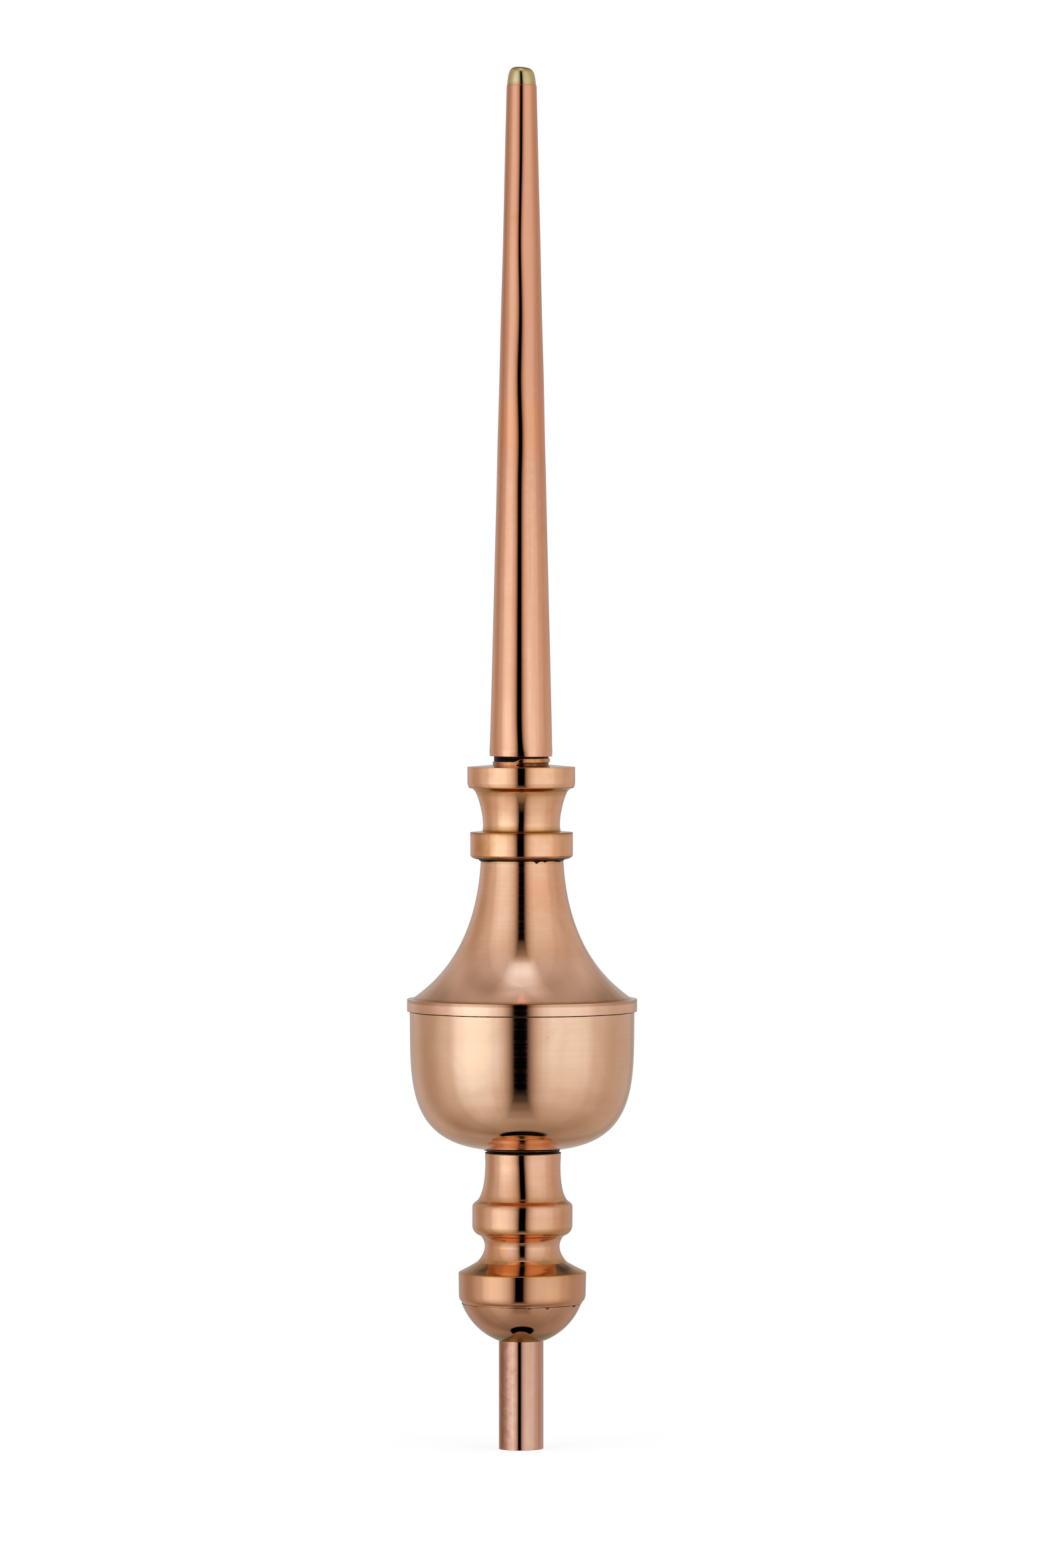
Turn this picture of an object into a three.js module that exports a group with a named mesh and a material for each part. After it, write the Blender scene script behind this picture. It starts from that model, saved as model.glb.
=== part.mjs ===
import * as THREE from "three";

// A roof finial of spun and turned copper with a brass tip, in millimetres, +Z up.
// The origin is the centre of the stem pipe's open foot, and the pieces stack up one axis from there.
// Every outline is a list of points (radius, height) from the bottom of the axis to the top of it.

// Whole finial
const finialHeight = 685.8;
const turningSteps = 36;

// Stem pipe, open at its foot for the rod of a roof mount
const stemRadius = 11.1;
const stemWall = 1.15;
const stemReach = 53.7; // from the foot up to the skin of the half ball

// Half ball
const ballRadius = 31.75;
const ballCutDrop = 11; // its soldered edge lies this far below the ball's centre
const socketRoof = 6.5; // metal between the stem's end and the soldered edge
const socketClearance = 0.3;

// Baluster: cap band, waist, round ring and neck
const capBandHeight = 15.7;
const capCornerHeight = 5;
const edgeBreak = 0.4; // the small chamfer on every sharp turned edge
const waistRadius = 18.6;
const waistRise = 12.7; // cap band up to the waist
const ringRadius = 24.9;
const ringUnderRise = 5.4; // waist up to the start of the ring's underside
const ringUnderHeight = 5.1;
const ringUnderOverhang = 3.65;
const ringBandHeight = 9;
const ringOverHeight = 3.8;
const ringOverOverhang = 2.97;
const neckRadius = 18.7;
const neckRise = 17.8; // ring up to the narrowest part of the neck
const neckTopRadius = 18.9;
const neckTopRise = 5.5;

// Dark groove where the bowl's foot sits on the baluster
const grooveHeight = 1;
const grooveDepth = 0.5;

// Bowl
const bowlDepth = 74.5;
const bowlFootHeight = 0.7;
const bowlFootFlare = 0.7;
const bowlFootFlareHeight = 0.4;

// Bell, whose turned-down skirt grips the bowl's rim
const sheet = 0.8;
const rimRadius = 57.15;
const rimClearance = 0.3;
const skirtHeight = 5;
const lipWidth = 2.6;
const bellRise = 69.2; // lip up to the base ring
const bellNeckRadius = 20.5;

// Upper spool: base ring, hollow, flange and the seat of the spire
const baseRingRadius = 25.5;
const baseRingHeight = 13.6;
const baseRingCornerHeight = 2.5;
const baseRingCornerWidth = 4.7;
const baseRingTopSlope = 0.5;
const hollowFootRadius = 19.55;
const hollowTopRadius = 23;
const hollowHeight = 19.7;
const flangeRadius = 26.8;
const flangeUnderHeight = 4.2;
const flangeBandHeight = 8.4;
const flangeTopSlope = 0.8;
const seatFilletRadius = 18.2; // where the flange's top turns up towards the spire
const seatFilletHeight = 2;
const seatGrooveHeight = 0.9;
const seatGrooveDepth = 0.9;

// Spire, a tapered tube whose foot is crimped in a little
const spireFootRadius = 15.5;
const spireTopRadius = 7.45;
const spireCrimp = 0.2;
const spireCrimpHeight = 3;

// Brass tip
const tipHeight = 9.4;
const tipStep = 0.25; // the tip is this much smaller than the spire's end

// Levels, from the foot up
const ballCentre = stemReach + Math.sqrt(ballRadius ** 2 - stemRadius ** 2);
const ballCutLevel = ballCentre - ballCutDrop;
const ballCutRadius = Math.sqrt(ballRadius ** 2 - ballCutDrop ** 2);
const socketLevel = ballCutLevel - socketRoof;
const capTop = ballCutLevel + capBandHeight;
const waistLevel = capTop + waistRise;
const ringUnderLevel = waistLevel + ringUnderRise;
const ringFoot = ringUnderLevel + ringUnderHeight;
const ringTop = ringFoot + ringBandHeight;
const neckFoot = ringTop + ringOverHeight;
const neckLevel = neckFoot + neckRise;
const neckTop = neckLevel + neckTopRise;
const bowlFoot = neckTop + grooveHeight;
const bowlTop = bowlFoot + bowlDepth;
const lipLevel = bowlTop + sheet;
const bellTop = lipLevel + bellRise;
const baseRingTop = bellTop + baseRingHeight;
const hollowFoot = baseRingTop + baseRingTopSlope;
const flangeUnder = hollowFoot + hollowHeight;
const flangeFoot = flangeUnder + flangeUnderHeight;
const flangeTop = flangeFoot + flangeBandHeight;
const seatFilletFoot = flangeTop + flangeTopSlope;
const seatGrooveFoot = seatFilletFoot + seatFilletHeight;
const spireFoot = seatGrooveFoot + seatGrooveHeight;
const tipFoot = finialHeight - tipHeight;

function at(radius, height) {
  return new THREE.Vector2(radius, height);
}

// A smooth curve between two points, steered by two hands.
// Each hand is a share of the step from start to end, in radius and in height.
function sweep(start, end, firstHand, secondHand, steps) {
  const step = end.clone().sub(start);
  const hand = ([radius, height]) => at(start.x + radius * step.x, start.y + height * step.y);
  return new THREE.CubicBezierCurve(start, hand(firstHand), hand(secondHand), end).getPoints(steps);
}

// Part of a circle, from one angle to another about its centre.
function arc(centre, radius, from, to, steps) {
  return new THREE.EllipseCurve(centre.x, centre.y, radius, radius, from, to, to < from).getPoints(steps);
}

// Joins points and curves into one outline, with a point that is there twice kept once.
function outline(...stretches) {
  const points = stretches.flat();
  return points.filter((point, i) => i === 0 || point.distanceTo(points[i - 1]) > 1e-6);
}

// Turns an outline about the upright axis into a named, coloured piece.
function turned(name, points, material) {
  const geometry = new THREE.LatheGeometry(points, turningSteps);
  geometry.rotateX(Math.PI / 2);
  const piece = new THREE.Mesh(geometry, material);
  piece.name = name;
  return piece;
}

const polishedCopper = new THREE.MeshStandardMaterial({ color: 0xd99b72, roughness: 0.14, metalness: 1 });
const spunCopper = new THREE.MeshStandardMaterial({ color: 0xcf946f, roughness: 0.22, metalness: 1 });
const pipeCopper = new THREE.MeshStandardMaterial({ color: 0xc98561, roughness: 0.2, metalness: 1 });
const brass = new THREE.MeshStandardMaterial({ color: 0xd8b96a, roughness: 0.2, metalness: 1 });

// The pipe is a ring in section, so its outline closes on itself.
function stemOutline() {
  const bore = stemRadius - stemWall;
  return [
    at(bore, 0),
    at(stemRadius, 0),
    at(stemRadius, socketLevel),
    at(bore, socketLevel),
    at(bore, 0),
  ];
}

// The half ball is bored from below for the stem and cut flat above, where it is soldered to the cap band.
function halfBallOutline() {
  const socket = stemRadius + socketClearance;
  const socketMouth = ballCentre - Math.sqrt(ballRadius ** 2 - socket ** 2);
  const mouthAngle = -Math.acos(socket / ballRadius);
  const cutAngle = -Math.asin(ballCutDrop / ballRadius);
  return outline(
    at(0, socketLevel),
    at(socket, socketLevel),
    at(socket, socketMouth),
    arc(at(0, ballCentre), ballRadius, mouthAngle, cutAngle, 7),
    at(0, ballCutLevel),
  );
}

// The cap band stands over the half ball, and above it come the hollow cone, waist, ring and neck.
function balusterOutline() {
  const bandFoot = at(ballRadius - edgeBreak / 2, ballCutLevel + capCornerHeight);
  const coneFoot = at(ballRadius - edgeBreak, capTop);
  const waist = at(waistRadius, waistLevel);
  const ringUnder = at(ringRadius - ringUnderOverhang, ringUnderLevel);
  const neckStart = at(ringRadius - ringOverOverhang, neckFoot);
  const neck = at(neckRadius, neckLevel);
  const grooveRadius = neckTopRadius - grooveDepth;
  return outline(
    at(0, ballCutLevel),
    sweep(at(ballCutRadius, ballCutLevel), bandFoot, [0.02, 0.29], [1, 0.17], 3),
    at(ballRadius, capTop - edgeBreak),
    sweep(coneFoot, waist, [0.8, 0.36], [1, 0.65], 7),
    sweep(waist, ringUnder, [0, 0.57], [0.89, 1.05], 4),
    sweep(ringUnder, at(ringRadius, ringFoot), [0.95, 0.26], [1, 0.82], 4),
    sweep(at(ringRadius, ringTop), neckStart, [0, 0.58], [0.83, 0.74], 4),
    sweep(neckStart, neck, [0.78, 0.21], [1, 0.6], 6),
    at(neckTopRadius, neckTop),
    at(grooveRadius, neckTop),
    at(grooveRadius, bowlFoot),
    at(0, bowlFoot),
  );
}

function bowlOutline() {
  const topRadius = rimRadius - sheet - rimClearance;
  const footTop = bowlFoot + bowlFootHeight;
  const shellStart = at(neckTopRadius + bowlFootFlare, footTop + bowlFootFlareHeight);
  return outline(
    at(0, bowlFoot),
    at(neckTopRadius, bowlFoot),
    at(neckTopRadius, footTop),
    sweep(shellStart, at(topRadius, bowlTop), [1.15, 0.06], [0.96, 0.56], 15),
    at(0, bowlTop),
  );
}

// The bell's underside lies on the bowl, and its skirt comes down round the bowl's rim.
function bellOutline() {
  const skirtInside = rimRadius - sheet;
  const skirtFoot = lipLevel - skirtHeight;
  const flareStart = at(rimRadius - lipWidth, lipLevel);
  const flareEnd = at(bellNeckRadius, bellTop);
  return outline(
    at(0, bowlTop),
    at(skirtInside, bowlTop),
    at(skirtInside, skirtFoot),
    at(rimRadius, skirtFoot),
    at(rimRadius, lipLevel - edgeBreak),
    at(rimRadius - edgeBreak, lipLevel),
    sweep(flareStart, flareEnd, [0.256, 0.095], [0.933, 0.326], 13),
    at(0, bellTop),
  );
}

function upperSpoolOutline() {
  const cornerFoot = at(baseRingRadius - baseRingCornerWidth, bellTop);
  const cornerTop = at(baseRingRadius, bellTop + baseRingCornerHeight);
  const hollowStart = at(hollowFootRadius, hollowFoot);
  const flangeStart = at(hollowTopRadius, flangeUnder);
  const grooveLip = at(spireFootRadius, seatGrooveFoot);
  const seatRadius = spireFootRadius - seatGrooveDepth;
  return outline(
    at(0, bellTop),
    sweep(cornerFoot, cornerTop, [0.6, 0.15], [1, 0.4], 3),
    at(baseRingRadius, baseRingTop - edgeBreak),
    at(baseRingRadius - edgeBreak, baseRingTop),
    sweep(hollowStart, flangeStart, [-0.41, 0.17], [0.24, 0.76], 6),
    sweep(flangeStart, at(flangeRadius, flangeFoot), [0.68, 0.75], [0.79, -0.07], 5),
    at(flangeRadius, flangeTop - edgeBreak),
    at(flangeRadius - edgeBreak, flangeTop),
    sweep(at(seatFilletRadius, seatFilletFoot), grooveLip, [0.5, 0.05], [0.9, 0.5], 3),
    at(seatRadius, seatGrooveFoot),
    at(seatRadius, spireFoot),
    at(0, spireFoot),
  );
}

function spireOutline() {
  return [
    at(0, spireFoot),
    at(spireFootRadius - spireCrimp, spireFoot),
    at(spireFootRadius, spireFoot + spireCrimpHeight),
    at(spireTopRadius, tipFoot),
    at(0, tipFoot),
  ];
}

function brassTipOutline() {
  const foot = at(spireTopRadius - tipStep, tipFoot);
  return outline(
    at(0, tipFoot),
    sweep(foot, at(0, finialHeight), [0.09, 0.875], [0.2, 1], 8),
  );
}

const finial = new THREE.Group();
finial.add(
  turned("stem_pipe", stemOutline(), pipeCopper),
  turned("half_ball", halfBallOutline(), polishedCopper),
  turned("baluster", balusterOutline(), polishedCopper),
  turned("bowl", bowlOutline(), spunCopper),
  turned("bell", bellOutline(), spunCopper),
  turned("upper_spool", upperSpoolOutline(), polishedCopper),
  turned("spire", spireOutline(), polishedCopper),
  turned("brass_tip", brassTipOutline(), brass),
);

export default finial;
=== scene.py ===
# %% [markdown]
# # A copper roof finial
#
# A finial closes the top of a turret or a gable. This one is spun, turned and soldered from copper, polished
# like a mirror, with a brass tip, and it stands on an open pipe that slips over the rod of a roof mount.
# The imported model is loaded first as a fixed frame: it says where each piece is and how large. The rest of
# the lesson makes a fine surface for every piece, a finish for every metal, and the studio around them.

# %% Load the frame
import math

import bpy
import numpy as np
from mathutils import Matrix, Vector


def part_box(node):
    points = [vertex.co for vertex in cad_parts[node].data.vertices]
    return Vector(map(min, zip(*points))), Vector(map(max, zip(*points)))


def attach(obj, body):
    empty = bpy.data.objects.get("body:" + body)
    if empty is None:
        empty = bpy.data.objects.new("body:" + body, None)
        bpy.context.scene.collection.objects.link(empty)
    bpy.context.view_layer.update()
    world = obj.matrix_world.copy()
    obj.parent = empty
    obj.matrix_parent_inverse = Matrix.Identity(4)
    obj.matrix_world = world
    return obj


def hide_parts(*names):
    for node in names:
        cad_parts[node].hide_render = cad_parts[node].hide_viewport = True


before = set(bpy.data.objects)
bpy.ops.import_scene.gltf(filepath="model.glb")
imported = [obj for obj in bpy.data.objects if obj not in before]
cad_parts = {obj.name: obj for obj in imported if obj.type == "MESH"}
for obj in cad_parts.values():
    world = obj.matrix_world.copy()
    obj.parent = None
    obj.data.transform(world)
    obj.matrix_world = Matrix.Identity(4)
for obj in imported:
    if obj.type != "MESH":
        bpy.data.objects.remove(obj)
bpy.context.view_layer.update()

# %% [markdown]
# ## Sizes from the frame
#
# Blender works in metres, so small sizes are written as a number times `mm`. Heights along the axis come
# from the frame's own boxes, so every surface stays with its solid.

mm = 0.001


def span(node):
    """The foot, the top and the largest radius of a turned node, in metres."""
    low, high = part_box(node)
    return low.z, high.z, high.x


stem_foot, stem_top, stem_radius = span("stem_pipe")
ball_foot, ball_top, ball_cut_radius = span("half_ball")
baluster_foot, baluster_top, ball_radius = span("baluster")
bowl_foot, bowl_top, bowl_radius = span("bowl")
skirt_foot, bell_top, rim_radius = span("bell")
spool_foot, spool_top, flange_radius = span("upper_spool")
spire_foot, spire_top, spire_radius = span("spire")
tip_foot, tip_top, tip_radius = span("brass_tip")
print("finial height", round(tip_top / mm, 1), "mm, width", round(2 * rim_radius / mm, 1), "mm")

# %% [markdown]
# ## The photographer's camera
#
# The ring edges of the finial show as thin ellipses that close up towards the top of the picture. That puts
# the camera at about the height of the spire's lower half, four metres away with a long lens, tipped down a
# little.

# %% Camera
camera_distance = 4.07
camera_height = 0.427
aim = Vector((0.0003, 0.0, 0.3304))

lens = bpy.data.cameras.new("photo_camera")
lens.sensor_width = 36.0
lens.lens = 188.4
camera = bpy.data.objects.new("photo_camera", lens)
camera.location = (aim.x, -camera_distance, camera_height)
camera.rotation_euler = (aim - camera.location).to_track_quat("-Z", "Y").to_euler()
bpy.context.scene.collection.objects.link(camera)
bpy.context.scene.camera = camera
tilt = math.degrees(math.atan2(camera_height - aim.z, camera_distance))
print("camera tips down", round(tilt, 2), "degrees")

# %% [markdown]
# ## Outlines
#
# A spinner presses sheet copper over a wooden form on a lathe, so every piece is an outline carried round one
# axis. An outline here is an array of points (radius, height). Straight runs are two points, round runs are
# cubic curves, and one function then softens all sharp corners to the small radius that polishing leaves.


# %% Outline tools
def curve(start, end, first, second, steps=60):
    """Cubic curve start·(1-t)³ + 3·a·(1-t)²·t + 3·b·(1-t)·t² + end·t³.
    The hands a and b are shares of the step from start to end, in radius and in height."""
    start, end = np.array(start), np.array(end)
    a = start + np.array(first) * (end - start)
    b = start + np.array(second) * (end - start)
    t = np.linspace(0.0, 1.0, steps)[:, None]
    return (1 - t) ** 3 * start + 3 * (1 - t) ** 2 * t * a + 3 * (1 - t) * t**2 * b + t**3 * end


def outline(*parts, corner=0.3 * mm, longest=1.2 * mm, turn=4.0, closed=False):
    """Joins points and curves, softens the corners and spaces the points by need.
    The line is laid out in small even steps, and each point becomes the mean of the points within the
    corner's reach. New points are then set wherever length/longest + turning/turn, summed along the line,
    passes a whole number, so round places get many points and straight ones few."""
    reach = 6
    line = np.vstack([np.atleast_2d(part) for part in parts])
    lengths = np.r_[0.0, np.cumsum(np.hypot(*np.diff(line, axis=0).T))]
    steps = int(lengths[-1] / (corner / reach)) + 1
    even = np.linspace(0.0, lengths[-1], steps)
    line = np.stack([np.interp(even, lengths, line[:, k]) for k in (0, 1)], axis=1)
    if closed:
        wide = np.vstack([line[-reach - 1 : -1], line, line[1 : reach + 1]])
    else:
        wide = np.pad(line, ((reach, reach), (0, 0)), mode="reflect", reflect_type="odd")
    kernel = np.hanning(2 * reach + 3)[1:-1]
    kernel /= kernel.sum()
    soft = np.stack([np.convolve(wide[:, k], kernel, mode="valid") for k in (0, 1)], axis=1)
    step = np.diff(soft, axis=0)
    heading = np.unwrap(np.arctan2(step[:, 1], step[:, 0]))
    turning = np.r_[0.0, np.abs(np.degrees(np.diff(heading)))]
    need = np.r_[0.0, np.cumsum(np.hypot(*step.T) / longest + turning / turn)]
    count = int(math.ceil(need[-1])) + 1
    spots = np.linspace(0.0, need[-1], count)
    return np.stack([np.interp(spots, need, soft[:, k]) for k in (0, 1)], axis=1)


# %% [markdown]
# ## Hand work
#
# Hand work shows in a mirror finish long before it shows in a ruler, so each piece takes a small wander of
# its radius. Slow waves of a few hundredths of a millimetre make the reflections swim. Where the photo's
# reflections stand to one side, the front of a piece faces a little aside, up to 0.4 mm out of round.


# %% Hand work
def facing(angle, radius, turn):
    """A tube a hair off round: r grows by radius·turn·(sin 2a / 4 + sin 3a / 6). The slope of that at the
    front is radius·turn, so the front of the mirror faces aside by the turn, in degrees."""
    return radius * np.radians(turn) * (np.sin(2 * angle) / 4 + np.sin(3 * angle) / 6)


def waves(angle, height, amount, turns, lengths, seed):
    """Sum of slow waves: each is amount_k · cos(turns_k·angle + p) · cos(2π·height/length_k + q).
    The starting phases p and q come from a seeded generator, so each run gives the same metal."""
    rng = np.random.default_rng(seed)
    total = np.zeros(np.broadcast(angle, height).shape)
    for size, turn, length in zip(amount, turns, lengths):
        p, q = rng.uniform(0, 2 * np.pi, 2)
        total += size * np.cos(turn * angle + p) * np.cos(2 * np.pi * height / length + q)
    return total


def spun_waves(amounts, turns, lengths, seed, full_radius):
    """The wander of a spun piece: slow waves, with amounts in millimetres, times radius / full_radius, so
    they fade out towards the axis."""

    def wander(angle, height, radius):
        sizes = [amount * mm for amount in amounts]
        return waves(angle, height, sizes, turns, lengths, seed) * radius / full_radius

    return wander


# %% [markdown]
# ## From an outline to a surface
#
# The surface is a grid: one direction runs along the outline, the other round the axis. Each point also
# stores how far along the outline it lies, because the marks of the turning tool follow that distance.


# %% Turned surfaces
def mesh_object(name, points, faces):
    """Puts arrays of points and faces into a new mesh object with smooth shading."""
    mesh = bpy.data.meshes.new(name)
    mesh.from_pydata(points.tolist(), [], faces)
    mesh.validate()
    mesh.shade_smooth()
    piece = bpy.data.objects.new(name, mesh)
    bpy.context.scene.collection.objects.link(piece)
    print(name, len(faces), "faces")
    return piece


def grid_faces(rows, around, closed):
    """Quads between the neighbours of a grid whose rows close on themselves. Where closed is true, the last
    row also joins the first."""
    steps = rows if closed else rows - 1
    i, j = np.meshgrid(np.arange(steps), np.arange(around), indexing="ij")
    up, beside = (i + 1) % rows, (j + 1) % around
    corners = [i * around + j, i * around + beside, up * around + beside, up * around + j]
    return np.stack(corners, axis=-1).reshape(-1, 4)


def turned(name, line, wander, around=256, closed=False, cut=None, aside=(0.0, 0.0)):
    """Carries an outline round the axis: point (i, j) is (r·sin a, -r·cos a, z) with r and z from outline
    point i and a = 2π·j/around, so a = 0 faces the camera. A wander adds to r, and a cut adds to z. The ends
    of an open outline close to one point on the axis. Last, x moves aside by a small step that changes evenly
    from the piece's foot to its top, because a piece soldered by eye stands a hair off the axis."""
    angle = np.linspace(0.0, 2 * np.pi, around, endpoint=False)[None, :]
    radius, height = line[:, :1], line[:, 1:]
    ring = radius + wander(angle, height, radius)
    level = height + (0.0 if cut is None else cut(angle, height, radius))
    level = np.broadcast_to(level, ring.shape)
    grid = np.stack([ring * np.sin(angle), -ring * np.cos(angle), level], axis=2)
    along = np.r_[0.0, np.cumsum(np.hypot(*np.diff(line, axis=0).T))]
    if closed:
        points = grid[:-1].reshape(-1, 3)
        faces = grid_faces(len(line) - 1, around, True).tolist()
        along = np.repeat(along[:-1], around)
    else:
        rows = len(line) - 2
        foot, top = [[0, 0, level[0].mean()]], [[0, 0, level[-1].mean()]]
        points = np.vstack([foot, grid[1:-1].reshape(-1, 3), top])
        turn = np.arange(around)
        after = (turn + 1) % around
        last_row = 1 + (rows - 1) * around
        top_point = np.full_like(turn, len(points) - 1)
        faces = (grid_faces(rows, around, False) + 1).tolist()
        faces += np.stack([np.zeros_like(turn), 1 + after, 1 + turn], axis=1).tolist()
        faces += np.stack([last_row + turn, last_row + after, top_point], axis=1).tolist()
        along = np.r_[along[0], np.repeat(along[1:-1], around), along[-1]]
    points[:, 0] += np.interp(points[:, 2], (height.min(), height.max()), aside)
    piece = mesh_object(name, points, faces)
    stored = piece.data.attributes.new("along", "FLOAT", "POINT")
    stored.data.foreach_set("value", along.astype(np.float32))
    return piece


# %% [markdown]
# ## Dressing the model
#
# Every piece of the finial is fixed to the next, so all of them ride on one body. A skin also stands for the
# plain solid that it covers.


# %% Dressing the model
def dress(piece, finish, slot, *nodes):
    """Gives a piece its finish, rides it on the one body and stands it for its nodes. The slot is not used.
    """
    piece.data.materials.append(finish)
    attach(piece, "root")
    if nodes:
        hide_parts(*nodes)


# %% [markdown]
# ## Shader helpers
#
# The finishes share their effects as node groups. These small helpers add a node with its values or links,
# and open a group with named inputs and outputs.


# %% Shader helpers
def add(tree, kind, settings=None, feeds=None):
    """Adds one node. Settings are its properties, and feeds are values or other nodes' outputs."""
    node = tree.nodes.new(kind)
    for label, value in (settings or {}).items():
        setattr(node, label, value)
    for socket, value in (feeds or {}).items():
        if isinstance(value, bpy.types.NodeSocket):
            tree.links.new(value, node.inputs[socket])
        else:
            node.inputs[socket].default_value = value
    return node


def calc(tree, operation, *values, clamp=False):
    """One Math node, as the output of an operation on values or sockets."""
    feeds = dict(enumerate(values))
    return add(tree, "ShaderNodeMath", {"operation": operation, "use_clamp": clamp}, feeds).outputs[0]
def times(tree, first, second):
    """The product of two values or sockets."""
    return calc(tree, "MULTIPLY", first, second)


def plus(tree, first, second):
    """The sum of two values or sockets."""
    return calc(tree, "ADD", first, second)


def noise(tree, place, scale, detail, **more):
    """Smooth noise from 0 to 1, as the output of a Noise Texture node."""
    feeds = {"Vector": place, "Scale": scale, "Detail": detail, **more}
    return add(tree, "ShaderNodeTexNoise", feeds=feeds).outputs[0]
def smooth_range(tree, value, low, high, start=0.0, end=1.0):
    """Maps a value smoothly from low..high to start..end."""
    settings = {"interpolation_type": "SMOOTHSTEP"}
    feeds = {"Value": value, "From Min": low, "From Max": high, "To Min": start, "To Max": end}
    return add(tree, "ShaderNodeMapRange", settings, feeds).outputs["Result"]


def new_group(name, inputs, outputs):
    """Opens a shader node group. Inputs are {label: (socket kind, default)} and outputs {label: kind}."""
    tree = bpy.data.node_groups.new(name, "ShaderNodeTree")
    for label, (kind, value) in inputs.items():
        socket = tree.interface.new_socket(label, in_out="INPUT", socket_type=kind)
        if value is not None:
            socket.default_value = value
    for label, kind in outputs.items():
        tree.interface.new_socket(label, in_out="OUTPUT", socket_type=kind)
    print("node group", name, "gives", ", ".join(outputs))
    return tree, tree.nodes.new("NodeGroupInput").outputs, tree.nodes.new("NodeGroupOutput").inputs


def use_group(tree, group, feeds):
    """Places a node group in a material and gives its outputs."""
    return add(tree, "ShaderNodeGroup", {"node_tree": group}, feeds).outputs


# %% [markdown]
# ## Turning marks
#
# A spinning tool leaves fine rings, and the polishing mop follows them. The pattern is noise that changes
# fast along the outline and slowly round the axis: the object's x and y are scaled by little, the stored
# distance along the outline by much. Coarse rings bend the reflections, fine ones dull them.

# %% Turning marks group
number, vector = "NodeSocketFloat", "NodeSocketVector"
slow_scale = 14.0
turning_marks, given, result = new_group(
    "turning_marks",
    {"Place": (vector, None), "Along": (number, 0.0), "Fine": (number, 900.0), "Coarse": (number, 160.0)},
    {"Height": number, "Gleam": number},
)
feeds = {0: given["Place"], "Scale": slow_scale}
slow = add(turning_marks, "ShaderNodeVectorMath", {"operation": "SCALE"}, feeds)
slow_parts = add(turning_marks, "ShaderNodeSeparateXYZ", feeds={0: slow.outputs[0]}).outputs
ring_noise = []
for density in ("Fine", "Coarse"):
    run = times(turning_marks, given["Along"], given[density])
    feeds = {0: slow_parts[0], 1: slow_parts[1], 2: run}
    spot = add(turning_marks, "ShaderNodeCombineXYZ", feeds=feeds).outputs[0]
    ring_noise.append(noise(turning_marks, spot, 1.0, 3.0, Roughness=0.55))
fine_share = times(turning_marks, ring_noise[0], 0.25)
turning_marks.links.new(plus(turning_marks, fine_share, ring_noise[1]), result["Height"])
turning_marks.links.new(smooth_range(turning_marks, ring_noise[0], 0.3, 0.7), result["Gleam"])

# %% [markdown]
# ## Cloudy tarnish
#
# Bright copper is never one colour: handling and the heat of soldering leave broad warm and cool clouds, an
# orange blush near the joints and a few small flecks. Three noises of different size give the masks, and each
# metal decides what to do with them.

# %% Cloudy tarnish group
cloudy_tarnish, given, result = new_group(
    "cloudy_tarnish",
    {"Place": (vector, None), "Size": (number, 30.0)},
    {"Cloud": number, "Fleck": number, "Blush": number},
)
where, size = given["Place"], given["Size"]
clouds = noise(cloudy_tarnish, where, size, 4.0, Roughness=0.6, Distortion=0.8)
flecks = noise(cloudy_tarnish, where, times(cloudy_tarnish, size, 14.0), 2.0)
mottle = noise(cloudy_tarnish, where, times(cloudy_tarnish, size, 4.0), 4.0)
masks = {"Cloud": (clouds, 0.36, 0.66), "Blush": (mottle, 0.48, 0.72), "Fleck": (flecks, 0.72, 0.8)}
for label, (mask, low, high) in masks.items():
    cloudy_tarnish.links.new(smooth_range(cloudy_tarnish, mask, low, high), result[label])

# %% [markdown]
# ## Seam dirt, painted shade and heat spots
#
# A seam gets an uneven near-black line: partly flux and polish left in the joint, partly painted shade in the
# crease or gap. The seam is a height on the axis, and noise moves its edge. The same group, wider and weaker,
# lays films: the thin brown painted shade in an inner corner, and bands of another tone.

# %% Seam dirt and painted shade group
seam_dirt_and_shade, given, result = new_group(
    "seam_dirt_and_shade",
    {"Place": (vector, None), "Seam": (number, 0.0), "Reach": (number, 1.0 * mm), "Jag": (number, 0.8 * mm)},
    {"Band_mask": number},
)
height = add(seam_dirt_and_shade, "ShaderNodeSeparateXYZ", feeds={0: given["Place"]}).outputs[2]
jag_noise = noise(seam_dirt_and_shade, given["Place"], 420.0, 3.0)
shift = times(seam_dirt_and_shade, calc(seam_dirt_and_shade, "SUBTRACT", jag_noise, 0.5), given["Jag"])
away = calc(seam_dirt_and_shade, "ABSOLUTE", calc(seam_dirt_and_shade, "SUBTRACT", height, given["Seam"]))
away = plus(seam_dirt_and_shade, away, shift)
half_reach = times(seam_dirt_and_shade, given["Reach"], 0.35)
seam_dirt_and_shade.links.new(smooth_range(seam_dirt_and_shade, away, half_reach, given["Reach"], 1.0, 0.0), result["Band_mask"])

# %% [markdown]
# A spot is a soft patch round one point: where the torch or a finger left the metal redder or browner, or a
# painted shade on the darker side of a piece.

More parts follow.
